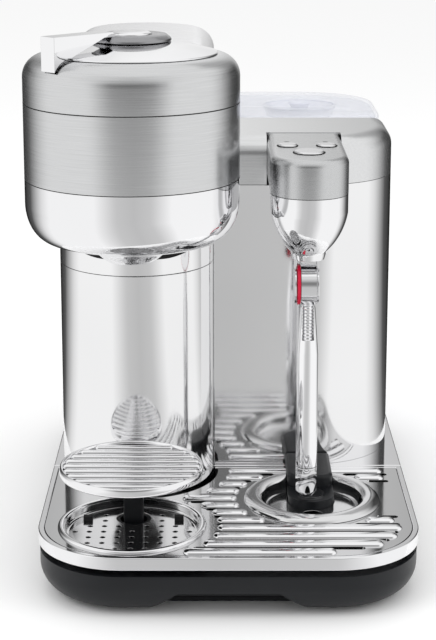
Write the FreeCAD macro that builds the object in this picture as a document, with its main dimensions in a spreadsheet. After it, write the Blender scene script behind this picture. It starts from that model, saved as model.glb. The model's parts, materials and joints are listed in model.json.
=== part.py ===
"""Pod coffee machine: a round brewing head on a column, with a steam wand beside it.

Millimetres. +Z is up, the front faces -Y, +X is to the machine's left as it looks at you, so the
brewing head stands at -X and the steam wand at +X. The origin is on the table, at the centre of
the machine's outline.
"""
import FreeCAD, Part
import Sketcher
import math
import os

V = FreeCAD.Vector
doc = FreeCAD.newDocument("coffee_machine")
sheet = doc.addObject("Spreadsheet::Sheet", "Sizes")


# ---------------------------------------------------------------- sizes kept in the spreadsheet
class Dim:
    """A length that knows its value now and the sheet formula that it comes from."""

    def __init__(self, value, text):
        self.value = float(value)
        self.text = text

    def join(self, other, sign, flip=False):
        other = other if isinstance(other, Dim) else Dim(other, repr(float(other)))
        a, b = (other, self) if flip else (self, other)
        value = {"+": a.value + b.value, "-": a.value - b.value, "*": a.value * b.value,
                 "/": a.value / b.value if b.value else 0.0}[sign]
        return Dim(value, "(%s %s %s)" % (a.text, sign, b.text))

    def __add__(self, other): return self.join(other, "+")
    def __radd__(self, other): return self.join(other, "+", True)
    def __sub__(self, other): return self.join(other, "-")
    def __rsub__(self, other): return self.join(other, "-", True)
    def __mul__(self, other): return self.join(other, "*")
    def __rmul__(self, other): return self.join(other, "*", True)
    def __truediv__(self, other): return self.join(other, "/")
    def __neg__(self): return self.join(0, "-", True)


class Sizes:
    """Writes each driving size into the sheet under its alias and hands it back as a Dim."""

    def __init__(self, **values):
        for row, (name, value) in enumerate(values.items(), 1):
            sheet.set("A%d" % row, name)
            sheet.set("B%d" % row, str(value))
            sheet.setAlias("B%d" % row, name)
            setattr(self, name, Dim(value, "Sizes." + name))


S = Sizes(
    # plan of the base
    base_left=-117, base_right=130, base_front=-200, base_back=200, base_corner=56,
    # heights above the table
    skirt_bottom=1.5, skirt_top=28, band_bottom=32.5, deck_top=41,
    tower_top=306, bin_top=335, cover_seam=244, cover_top=277,
    # walls and clearances
    skirt_wall=3, skirt_round=18, steel_wall=1.5, gap=0.5, slip=0.3, pin_play=0.1,
    # brewing head
    head_x=-56, head_y=-95, head_radius=70, head_wall=2, bowl_bottom=221, bowl_top=262, band_top=311,
    bowl_round=41.5, bowl_foot=53, lid_straight=17, lid_roll=14, crown_rise=8, crown_wall=2.5,
    spout_y=-123, spout_radius=19, spout_bottom=212, spout_bore=4,
    # lever, hub and button on the lid
    hub_radius=26, hub_height=4, lever_reach=14, lever_width=13, lever_top=357.5, lever_angle=225,
    brew_button_radius=13, button_travel=1.5,
    # lid hinge
    hinge_back=4, hinge_pin_radius=2, hinge_lug=5, hinge_length=44,
    # capsule chamber inside the head
    chamber_radius=42, holder_radius=34, holder_wall=2.5, bearing_bore=9,
    # column and used-capsule bin
    tower_radius=52.5, tower_centre_y=-45, tower_back=190, collar_seam=195, bay_front=36,
    bay_floor=188, bin_wall=2, bin_cover_height=24,
    # steam side
    jug_x=63, steam_x=59, body_side=124, body_front=8, body_back=67, body_corner=58, cover_roll=13,
    steam_y=-100, steam_radius=25.5, steam_seam=252, steam_bottom=208, steam_neck=10.5, steam_back=-12,
    wand_radius=7.2, wand_bottom=44, wand_pivot=190.5, knuckle_radius=13.5, knuckle_width=10, ring_width=2.2,
    neck_radius=3.2,
    # water tank
    tank_front=68, tank_inset=9, tank_wall=2.5, tank_floor=46, tank_top=264, lid_height=12, lid_well=29, knob_radius=9,
    # drip tray, grille and dishes
    tray_back=-36, tray_floor=6, tray_wall=2, grille_thick=2, cup_y=-146.5, dish_radius=46,
    dish_depth=6, dish_hole=1.6, dish_pitch=9.3, jug_y=-100, jug_radius=46, jug_rim=11, jug_depth=7,
    slot_width=4.5, slot_pitch=13, tongue_width=31, tongue_front=-106, tongue_thick=6, tongue_rise=9,
    # cup stand
    stand_radius=46.5, stand_top=83, stand_rim=6, slat_pitch=9, post_width=13, post_depth=11, socket_radius=11.5,
)
POST_OFFSET = S.stand_radius * 0.5
doc.recompute()


def bay_line():
    """Where the used-capsule bay starts, behind the head."""
    return S.head_y + S.head_radius + S.bay_front


def body_line():
    """The front of the steam side's body, beside the back of the head."""
    return S.head_y + S.head_radius - S.body_front


def number(x):
    return x.value if isinstance(x, Dim) else float(x)


def root(x):
    """The square root of a length product, kept as a formula."""
    return Dim(math.sqrt(number(x)), "sqrt(%s)" % x.text)


def bind(obj, prop, x):
    """Give a property its size: by formula when it comes from the sheet, else as a plain number."""
    text = x.text if isinstance(x, Dim) else repr(float(x))
    obj.setExpression(prop, text)


def place(obj, x=0, y=0, z=0):
    for axis, size in zip("xyz", (x, y, z)):
        if isinstance(size, Dim) or size:
            bind(obj, "Placement.Base." + axis, size)
    return obj


# ---------------------------------------------------------------- building blocks
def plane_of(body, role):
    return next(f for f in body.Origin.OriginFeatures if f.Role == role)


def arc_between(a, b, radius):
    """The short arc from a to b; a positive radius turns left. Returns the arc and its end order."""
    chord = b - a
    rise = math.sqrt(max(radius * radius - chord.Length ** 2 / 4, 0))
    left = V(-chord.y, chord.x, 0)
    left.normalize()
    centre = (a + b) / 2 + left * math.copysign(rise, radius)
    first, last = (a, b) if radius > 0 else (b, a)
    start = math.atan2(first.y - centre.y, first.x - centre.x)
    end = math.atan2(last.y - centre.y, last.x - centre.x)
    if end < start:
        end += 2 * math.pi
    arc = Part.ArcOfCircle(Part.Circle(centre, V(0, 0, 1), abs(radius)), start, end)
    return arc, ((1, 2) if radius > 0 else (2, 1))


def outline(body, name, role, points):
    """A closed sketch. A point is (x, y), or (x, y, radius) where an arc leaves it."""
    sketch = body.newObject("Sketcher::SketchObject", name)
    sketch.AttachmentSupport = (plane_of(body, role), [""])
    sketch.MapMode = "FlatFace"
    spots = [V(number(p[0]), number(p[1]), 0) for p in points]
    ends = []
    for i, point in enumerate(points):
        a, b = spots[i], spots[(i + 1) % len(points)]
        if len(point) > 2:
            curve, order = arc_between(a, b, number(point[2]))
        else:
            curve, order = Part.LineSegment(a, b), (1, 2)
        ends.append((sketch.addGeometry(curve, False),) + order)
    for i, (edge, _, last) in enumerate(ends):
        following, first, _ = ends[(i + 1) % len(ends)]
        sketch.addConstraint(Sketcher.Constraint("Coincident", edge, last, following, first))
    for (edge, first, _), point in zip(ends, points):
        rules = [("DistanceX", (-1, 1, edge, first), point[0]), ("DistanceY", (-1, 1, edge, first), point[1])]
        if len(point) > 2:
            radius = point[2] if number(point[2]) > 0 else -point[2]
            rules.append(("Radius", (edge,), radius))
        for kind, where, size in rules:
            index = sketch.addConstraint(Sketcher.Constraint(kind, *where, number(size)))
            if isinstance(size, Dim):
                sketch.setExpression("Constraints[%d]" % index, size.text)
    sketch.Visibility = False
    return sketch


def turned(name, points, x=0, y=0, z=0):
    """A solid of revolution about its own vertical axis, from (radius, height) points."""
    body = doc.addObject("PartDesign::Body", name)
    sketch = outline(body, name + "_profile", "XZ_Plane", points)
    turn = body.newObject("PartDesign::Revolution", name + "_turn")
    turn.Profile = sketch
    turn.ReferenceAxis = (sketch, ["V_Axis"])
    turn.Angle = 360
    return place(body, x, y, z)


def prism(name, points, z, height):
    """A plan outline padded upwards from height z."""
    body = doc.addObject("PartDesign::Body", name)
    sketch = outline(body, name + "_plan", "XY_Plane", points)
    pad = body.newObject("PartDesign::Pad", name + "_pad")
    pad.Profile = sketch
    bind(pad, "Length", height)
    return place(body, z=z)


def rolled(body, radius, level):
    """Round every edge of the body that lies flat at this height of its own frame."""
    doc.recompute()
    base = body.Tip
    picked = []
    for i, edge in enumerate(base.Shape.Edges, 1):
        box = edge.BoundBox
        if abs(box.ZMin - number(level)) < 1e-4 and abs(box.ZMax - number(level)) < 1e-4:
            picked.append("Edge%d" % i)
    fillet = body.newObject("PartDesign::Fillet", body.Name + "_roll")
    fillet.Base = (base, picked)
    bind(fillet, "Radius", radius)
    return body


def box(name, x, y, z, dx, dy, dz):
    block = doc.addObject("Part::Box", name)
    for prop, size in zip(("Length", "Width", "Height"), (dx, dy, dz)):
        bind(block, prop, size)
    return place(block, x, y, z)


def rod(name, x, y, z, radius, length, along="z"):
    """A cylinder that starts at x, y, z and runs along +X, +Y or +Z."""
    cylinder = doc.addObject("Part::Cylinder", name)
    bind(cylinder, "Radius", radius)
    bind(cylinder, "Height", length)
    turns = {"x": (V(0, 1, 0), 90), "y": (V(1, 0, 0), -90), "z": (V(0, 0, 1), 0)}
    cylinder.Placement = FreeCAD.Placement(V(0, 0, 0), FreeCAD.Rotation(*turns[along]))
    return place(cylinder, x, y, z)


def ring(name, x, y, z, outer, inner, height):
    return cut(name, rod(name + "_outer", x, y, z, outer, height),
               rod(name + "_bore", x, y, z, inner, height))


def cut(name, base, *tools):
    result = doc.addObject("Part::Cut", name)
    result.Base = base
    result.Tool = tools[0] if len(tools) == 1 else fuse(name + "_tools", *tools)
    return result


def fuse(name, *pieces):
    result = doc.addObject("Part::MultiFuse", name)
    result.Shapes = list(pieces)
    result.Refine = True
    return result


def group(name, *pieces):
    """Several separate solids kept together as one node."""
    result = doc.addObject("Part::Compound", name)
    result.Links = list(pieces)
    return result


def rounded(x0, x1, y0, y1, front_left, front_right, back_right, back_left):
    """Plan of a rounded rectangle, anticlockwise; a corner of None is square."""
    corners = [(x0, y0, 1, 1, front_left), (x1, y0, -1, 1, front_right),
               (x1, y1, -1, -1, back_right), (x0, y1, 1, -1, back_left)]
    points = []
    for i, (x, y, inward_x, inward_y, r) in enumerate(corners):
        if r is None:
            points.append((x, y))
            continue
        beside = (x + inward_x * r, y)
        upright = (x, y + inward_y * r)
        first, last = (upright, beside) if i in (0, 2) else (beside, upright)
        points.append(first + (r,))
        points.append(last)
    tidy = []
    for i, point in enumerate(points):
        following = points[(i + 1) % len(points)]
        apart = abs(number(point[0] - following[0])) + abs(number(point[1] - following[1]))
        if apart > 1e-6:
            tidy.append(point)
    return tidy


nodes = {}


def node(name, obj):
    """Name a finished sub-part: the label is also its file name."""
    obj.Label = name
    nodes[name] = obj
    return obj


# ---------------------------------------------------------------- base
def base_plan(inset=0):
    r = S.base_corner - inset
    return rounded(S.base_left + inset, S.base_right - inset, S.base_front + inset, S.base_back - inset,
                   r, r, r, r)


def arch(name, clear):
    """The finger hold under the front edge: a wedge with slanted ends that runs back from the front."""
    half_foot = 54 + clear
    half_top = 32 + clear
    top = S.skirt_bottom + 15 + clear
    middle = (S.base_left + S.base_right) / 2
    body = doc.addObject("PartDesign::Body", name)
    sketch = outline(body, name + "_front", "XZ_Plane", [
        (middle - half_foot, S.skirt_bottom - 1), (middle + half_foot, S.skirt_bottom - 1),
        (middle + half_top, top), (middle - half_top, top)])
    pad = body.newObject("PartDesign::Pad", name + "_pad")
    pad.Profile = sketch
    bind(pad, "Length", 2 * (24 + clear))
    pad.Midplane = True
    return place(body, y=S.base_front)


def make_base():
    height = S.skirt_top - S.skirt_bottom
    under = S.skirt_round
    skirt = prism("skirt_outer", base_plan(1), S.skirt_bottom, height)
    rolled(skirt, under, 0)
    hollow = prism("skirt_hollow", base_plan(S.skirt_wall + under), S.skirt_bottom, height)
    skirt_ring = cut("skirt_ring", skirt, hollow, arch("skirt_arch", 0))
    wide = S.base_right - S.base_left
    deep = S.base_back - S.base_front
    behind = box("skirt_behind", S.base_left, S.tray_back, 0, wide, deep, S.deck_top)
    ahead = box("skirt_ahead", S.base_left, S.tray_back + S.gap - deep, 0, wide, deep, S.deck_top)
    node("tray_skirt", cut("skirt_front", skirt_ring, behind))
    node("base_skirt", cut("skirt_rear", skirt_ring, ahead))

    plate_thick = 2.5
    plate = prism("plate_blank", base_plan(S.skirt_wall + under + S.slip), S.skirt_bottom, plate_thick)
    node("base_plate", cut("plate", plate, arch("plate_arch", S.gap)))

    foot_radius = 9
    inset = 38
    feet = []
    for i, (x, y) in enumerate([(S.base_left + inset, S.base_front + inset),
                                (S.base_right - inset, S.base_front + inset),
                                (S.base_left + inset, S.base_back - inset),
                                (S.base_right - inset, S.base_back - inset)]):
        feet.append(rod("foot_%d" % i, x, y, 0, foot_radius, S.skirt_bottom))
    node("rubber_feet", group("feet", *feet))

    pillar = S.tray_floor - S.skirt_bottom - plate_thick - 0.1
    screws = []
    for i, (x, y) in enumerate([(S.base_left + 60, S.base_front + 24), (S.base_right - 60, S.base_front + 24),
                                (S.base_left + 60, S.base_back - 24), (S.base_right - 60, S.base_back - 24)]):
        screws.append(rod("base_screw_%d" % i, x, y, S.skirt_bottom + plate_thick, 1.8, pillar))
    node("base_screws", group("base_screw_set", *screws))

    front = S.tray_back + S.gap
    blank = prism("plinth_blank", rounded(S.base_left, S.base_right, front, S.base_back, None, None,
                                          S.base_corner, S.base_corner),
                  S.skirt_top, S.deck_top - S.skirt_top)
    inner = S.steel_wall * 2
    room = prism("plinth_room", rounded(S.base_left + inner, S.base_right - inner, front + inner,
                                        S.base_back - inner, None, None,
                                        S.base_corner - inner, S.base_corner - inner),
                 S.skirt_top, S.deck_top - S.skirt_top - inner)
    column_foot = prism("plinth_column", tower_plan(-S.slip), S.skirt_top, S.deck_top - S.skirt_top)
    node("rear_plinth", cut("plinth", blank, room, column_foot))


# ---------------------------------------------------------------- drip tray and what stands on it
def tray_plan(inset, back):
    r = S.base_corner - inset
    return rounded(S.base_left + inset, S.base_right - inset, S.base_front + inset, back, r, r, None, None)


def column_room(name, z, height, clear):
    """The round notch at the tray's back that the column stands in."""
    return fuse(name, rod(name + "_round", S.head_x, S.tower_centre_y, z, S.tower_radius + clear, height),
                box(name + "_back", S.head_x - S.tower_radius - clear, S.tower_centre_y, z,
                    2 * (S.tower_radius + clear), 40, height))


def tongue_room(name, z, height):
    """The slot, open at the back, that lets the tray pull out past the jug sensor."""
    half = S.tongue_width / 2 + S.gap
    return fuse(name, rod(name + "_round", S.jug_x, S.tongue_front + S.tongue_width / 2, z, half, height),
                box(name + "_back", S.jug_x - half, S.tongue_front + S.tongue_width / 2, z, 2 * half, 90, height))


def chord(y, centre_x, centre_y, radius):
    """Where a line at this y leaves a circle to the right, or None when it passes by."""
    off = y - number(centre_y)
    reach = number(radius) ** 2 - off * off
    return number(centre_x) + math.sqrt(reach) if reach > 0 else None


def slot_spans(y):
    """The stretches of the grille that a slot at this y may take, clear of column, dishes and corner."""
    margin = 12
    left = number(S.head_x) + 22
    for circle in ((S.head_x, S.tower_centre_y, S.tower_radius + margin),
                   (S.head_x, S.cup_y, S.dish_radius + margin - 3)):
        left = max(left, chord(y, *circle) or left)
    right = number(S.base_right) - margin
    corner_y = S.base_front + S.base_corner
    if y < number(corner_y):
        right = chord(y, S.base_right - S.base_corner, corner_y, S.base_corner - margin)
    spans = [(left, right)]
    around = chord(y, S.jug_x, S.jug_y, S.jug_radius + 6)
    if around is not None:
        spans = [(left, 2 * number(S.jug_x) - around), (around, right)]
    shortest = 2 * number(S.slot_width)
    return [(x0, x1) for x0, x1 in spans if x1 - x0 > shortest]


def make_tray():
    clear = S.gap * 2
    band = prism("band_blank", tray_plan(0, S.tray_back), S.band_bottom, S.deck_top - S.band_bottom)
    band_room = prism("band_room", tray_plan(2 * S.tray_wall, S.tray_back - 2 * S.tray_wall),
                      S.band_bottom, S.deck_top - S.band_bottom)
    node("tray_band", cut("band", band, band_room,
                          column_room("band_column", S.band_bottom, 30, clear),
                          tongue_room("band_tongue", S.deck_top - S.tongue_thick - S.gap, 30)))

    pan_inset = S.skirt_wall + S.skirt_round + S.slip
    pan_height = S.deck_top - S.jug_depth - S.gap - S.tray_floor
    pan_back = S.tray_back - 2 * S.tray_wall - S.slip
    pan = prism("pan_blank", tray_plan(pan_inset, pan_back), S.tray_floor, pan_height)
    pan_room = prism("pan_room", tray_plan(pan_inset + S.tray_wall, pan_back - S.tray_wall),
                     S.tray_floor + S.tray_wall, pan_height)
    wall_room = cut("pan_hollow", pan_room,
                    column_room("pan_column_wall", S.tray_floor, 40, clear + S.tray_wall))
    node("drip_pan", cut("pan", pan, wall_room, column_room("pan_column", S.tray_floor, 40, clear),
                         tongue_room("pan_tongue", S.deck_top - S.tongue_thick - 2 * S.gap, 30)))

    z = S.deck_top - S.grille_thick
    plate = prism("grille_blank", tray_plan(2 * S.tray_wall + S.slip, S.tray_back - 2 * S.tray_wall - S.slip),
                  z, S.grille_thick)
    slots = []
    for i in range(11):
        y = S.base_front + 16 + i * S.slot_pitch
        for k, (x0, x1) in enumerate(slot_spans(number(y))):
            tag = "slot_%d_%d" % (i, k)
            r = S.slot_width / 2
            slots.append(box(tag + "_mid", x0 + r, y - r, z, x1 - x0 - 2 * r, 2 * r, S.grille_thick))
            slots.append(rod(tag + "_a", x0 + r, y, z, r, S.grille_thick))
            slots.append(rod(tag + "_b", x1 - r, y, z, r, S.grille_thick))
    node("tray_grille", cut("grille", plate,
                            rod("grille_cup_hole", S.head_x, S.cup_y, z, S.dish_radius - 1 + S.slip, 4),
                            rod("grille_jug_hole", S.jug_x, S.jug_y, z, S.jug_radius - S.jug_rim / 2, 4),
                            column_room("grille_column", z, 4, clear + S.tray_wall + S.slip),
                            tongue_room("grille_tongue", z, 4), *slots))
    make_cup_dish()
    make_jug_dish()


def make_cup_dish():
    """The round perforated dish under the spout, with its rolled rim and two rubber stops."""
    r = S.dish_radius
    thick = 1.5
    drop = S.dish_depth
    dish = turned("cup_dish_blank", [(0, -drop), (r - 5, -drop, 4.0), (r - 1, 4 - drop), (r - 1, 0.8),
                                     (r - 1 - thick, 0.8), (r - 1 - thick, 4 - drop, -2.5),
                                     (r - 3.5 - thick, thick - drop), (0, thick - drop)],
                  S.head_x, S.cup_y, S.deck_top)
    holes = []
    step = S.dish_pitch
    rows = 4
    for row in range(-rows, rows + 1):
        for k in range(-rows, rows + 1):
            x = k * number(step)
            y = row * number(step)
            inside = math.hypot(x, y) < number(S.dish_radius) - 8
            off_post = math.hypot(x, y - number(POST_OFFSET)) > number(S.socket_radius) + 3
            off_stops = abs(abs(x) - 30) > 5 or abs(y - 20) > 6
            if inside and off_post and off_stops:
                holes.append(rod("dish_hole_%d_%d" % (row + rows, k + rows), S.head_x + k * step,
                                 S.cup_y + row * step, S.deck_top - drop - 1, S.dish_hole, 4))
    socket = rod("dish_socket", S.head_x, S.cup_y + POST_OFFSET, S.deck_top - drop - 1, S.socket_radius, 4)
    node("cup_dish", cut("cup_dish_cut", dish, socket, *holes))
    stops = [box("stop_%d" % i, S.head_x + side * 30 - 3, S.cup_y + 18, S.deck_top - drop + thick, 6, 4, 3)
             for i, side in enumerate((-1, 1))]
    node("dish_stops", group("stops", *stops))
    tube = ring("socket_tube", S.head_x, S.cup_y + POST_OFFSET, S.tray_floor + S.tray_wall,
                S.socket_radius - S.slip, S.socket_radius - 2.5, S.deck_top - drop - S.tray_floor - 1)
    node("stand_socket", tube)


def make_jug_dish():
    """The shallow bowl under the wand, with a broad rolled rim that sits on the grille."""
    r = S.jug_radius
    rim = S.jug_rim
    drop = S.jug_depth
    thick = 1.5
    dish = turned("jug_dish_blank", [(0, -drop), (r - rim - 6, -drop, 6.0), (r - rim, 6 - drop), (r - rim, 0.2),
                                     (r, 0.2), (r - 0.6, 1.6, 8.0), (r - rim - thick, 1.6),
                                     (r - rim - thick, 6 - drop, -4.5), (r - rim - 4.5 - thick, thick - drop),
                                     (0, thick - drop)],
                  S.jug_x, S.jug_y, S.deck_top)
    drain = rod("jug_drain", S.jug_x, S.jug_y - 15, S.deck_top - drop - 1, 7.5, 4)
    node("jug_dish", cut("jug_dish_cut", dish, drain,
                         tongue_room("jug_tongue", S.deck_top - drop - 1, 20)))


def make_sensor():
    """The black tongue that reaches over the jug dish and carries the milk temperature sensor."""
    half = S.tongue_width / 2
    z = S.deck_top - S.tongue_thick
    reach = S.tray_back + S.gap - S.tongue_front - half
    tongue = fuse("tongue_blank", rod("tongue_round", S.jug_x, S.tongue_front + half, z, half, S.tongue_thick),
                  box("tongue_arm", S.jug_x - half, S.tongue_front + half, z, 2 * half, reach, S.tongue_thick))
    pad_radius = 9
    hood_front = S.steam_y + S.wand_radius + 12
    hood = rolled(prism("tongue_hood", rounded(S.jug_x - half, S.jug_x + half, hood_front,
                                               body_line() - S.gap, 9, 9, None, None),
                        S.deck_top, S.tongue_rise), 2.5, S.tongue_rise)
    seat = rod("sensor_seat", S.jug_x, S.tongue_front + half, z + 3, pad_radius + S.slip, 10)
    node("sensor_tongue", cut("tongue", fuse("tongue_joined", tongue, hood), seat))
    node("sensor_pad", rod("pad", S.jug_x, S.tongue_front + half, z + 3, pad_radius, S.tongue_thick - 2.4))


def make_stand():
    """The slatted cup stand on its black post."""
    r = S.stand_radius
    z = S.stand_top - S.stand_rim
    rim = ring("stand_rim_ring", S.head_x, S.cup_y, z, r, r - 2.5, S.stand_rim)
    bars = []
    count = 9
    for i in range(count):
        y = (i - (count - 1) / 2) * S.slat_pitch
        half = math.sqrt(number(r - 2) ** 2 - number(y) ** 2)
        bars.append(box("slat_%d" % i, S.head_x - half, S.cup_y + y - 2, S.stand_top - 3, 2 * half, 4, 3))
    spine = box("stand_spine", S.head_x - 6, S.cup_y - r + 1.5, z, 12, 2 * r - 3, 3.2)
    node("cup_stand", fuse("stand", rim, spine, *bars))
    post_bottom = S.tray_floor + S.tray_wall + 1
    node("stand_post", box("post", S.head_x - S.post_width / 2,
                           S.cup_y + POST_OFFSET - S.post_depth / 2, post_bottom,
                           S.post_width, S.post_depth, z - post_bottom))


# ---------------------------------------------------------------- column and used-capsule bin
def tower_plan(inset):
    r = S.tower_radius - inset
    return rounded(S.head_x - r, S.head_x + r, S.tower_centre_y - r, S.tower_back - inset, r, r, r, r)


def bay_plan(inset, front):
    r = S.tower_radius - inset
    return rounded(S.head_x - r, S.head_x + r, front, S.tower_back - inset, None, None, r, r)


def make_tower():
    column_tall = S.collar_seam - S.slip - S.skirt_top
    column = prism("column_blank", tower_plan(0), S.skirt_top, column_tall)
    column_room = prism("column_room", tower_plan(S.steel_wall), S.skirt_top, column_tall)
    column_bay = box("column_bay", S.head_x - 60, bay_line(), S.bay_floor, 120, 400, 400)
    node("column_shell", cut("column", column, column_room, column_bay))

    bottom = S.collar_seam
    tall = S.tower_top - bottom
    blank = prism("tower_blank", tower_plan(0), bottom, tall)
    room = prism("tower_room", tower_plan(S.steel_wall), bottom, tall)
    bay = box("tower_bay", S.head_x - 60, bay_line(), S.bay_floor, 120, 400, 400)
    head_room = rod("tower_head_room", S.head_x, S.head_y, S.bowl_bottom, S.head_radius + S.gap, 400)
    node("neck_shell", cut("neck", blank, room, bay, head_room))

    inset = S.steel_wall + S.slip
    floor = prism("bay_floor_plate", bay_plan(inset, bay_line() + 1 - S.steel_wall),
                  S.bay_floor - 3, 3)
    wall = box("bay_wall", S.head_x - S.tower_radius + inset, bay_line() + 1 - S.steel_wall - 2, S.bay_floor - 3,
               2 * (S.tower_radius - inset), 2, S.tower_top - S.bay_floor)
    node("bin_bay", fuse("bay_liner", floor, wall))

    top = box("neck_top_blank", S.head_x - S.tower_radius + inset, S.head_y, S.tower_top - 3,
              2 * (S.tower_radius - inset), bay_line() - S.head_y - 4, 3)
    notch = rod("neck_top_notch", S.head_x, S.head_y, S.tower_top - 5, S.head_radius + 2 * S.gap, 10)
    node("neck_top", cut("neck_top_plate", top, notch))

    bin_bottom = S.bay_floor + S.gap
    cover_bottom = S.bin_top - S.bin_cover_height
    front = bay_line() + 2
    bin_height = cover_bottom - S.slip - bin_bottom
    bucket = prism("bin_blank", bay_plan(0, front), bin_bottom, bin_height)
    bucket_room = prism("bin_room", bay_plan(S.bin_wall, front + S.bin_wall), bin_bottom + S.bin_wall, bin_height)
    node("capsule_bin", cut("bin", bucket, bucket_room))
    roll = 16
    cover = rolled(prism("bin_cover_blank", bay_plan(0, front), cover_bottom, S.bin_cover_height), roll,
                   S.bin_cover_height)
    under = rolled(prism("bin_cover_room", bay_plan(S.bin_wall, front + S.bin_wall), cover_bottom,
                         S.bin_cover_height - S.bin_wall), roll - S.bin_wall, S.bin_cover_height - S.bin_wall)
    node("bin_cover", cut("bin_lid", cover, under))


# ---------------------------------------------------------------- brewing head
def make_head():
    r = S.head_radius
    w = S.head_wall
    x, y = S.head_x, S.head_y
    tall = S.bowl_top - S.bowl_bottom - S.slip
    bowl = turned("bowl_turned", [(0, 0), (S.bowl_foot, 0, S.bowl_round), (r, tall * 0.62), (r, tall),
                                  (r - w, tall), (r - w, tall * 0.62, w - S.bowl_round),
                                  (S.bowl_foot - 0.5, w), (0, w)], x, y, S.bowl_bottom)
    outlet = rod("bowl_outlet", x, S.spout_y, S.bowl_bottom - 1, S.spout_radius - 3 + S.slip, 8)
    node("head_bowl", cut("bowl", bowl, outlet))
    node("head_band", ring("band_ring", x, y, S.bowl_top, r, r - w, S.band_top - S.bowl_top))
    s = S.spout_radius
    drop = S.bowl_bottom - S.spout_bottom
    flare = drop - 0.1
    node("spout", turned("spout_turned", [(S.spout_bore, 0), (s - 3, 0), (s - 1, 2), (s, flare - 4.2, -4.3),
                                          (s + 4.2, flare), (s - 3, flare), (s - 3, drop + w),
                                          (S.spout_bore, drop + w)], x, S.spout_y, S.spout_bottom))

    cup_bottom = S.bowl_bottom + w + 0.2
    c = S.chamber_radius
    floor = 3
    cup_height = S.band_top - cup_bottom - 12
    chamber = turned("chamber_turned", [(0, 0), (c - 6, 0), (c, 6), (c, cup_height - 3),
                                         (r - w - 0.2, cup_height - 3), (r - w - 0.2, cup_height),
                                         (c - 2, cup_height), (c - 2, 7), (c - 7, floor), (0, floor)],
                     x, y, cup_bottom)
    drain = rod("chamber_drain", x, S.spout_y, cup_bottom - 1, S.spout_bore, 12)
    node("brew_chamber", cut("chamber", chamber, drain))
    h = S.holder_radius
    t = S.holder_wall
    base = cup_bottom + floor
    seat = 9
    node("holder_bearing", ring("bearing_ring", x, y, base, S.bearing_bore + 5, S.bearing_bore, 6))
    shaft = S.bearing_bore - S.pin_play
    node("capsule_holder", turned("holder_turned", [(S.spout_bore, -8), (shaft, -8), (shaft, 0),
                                                    (h - 12, 0), (h, 22), (h, 40), (h + 4, 40), (h + 4, 42.5),
                                                    (h - t, 42.5), (h - t, 22.5), (h - 12 - t, t),
                                                    (S.spout_bore, t)], x, y, base + seat))


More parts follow.
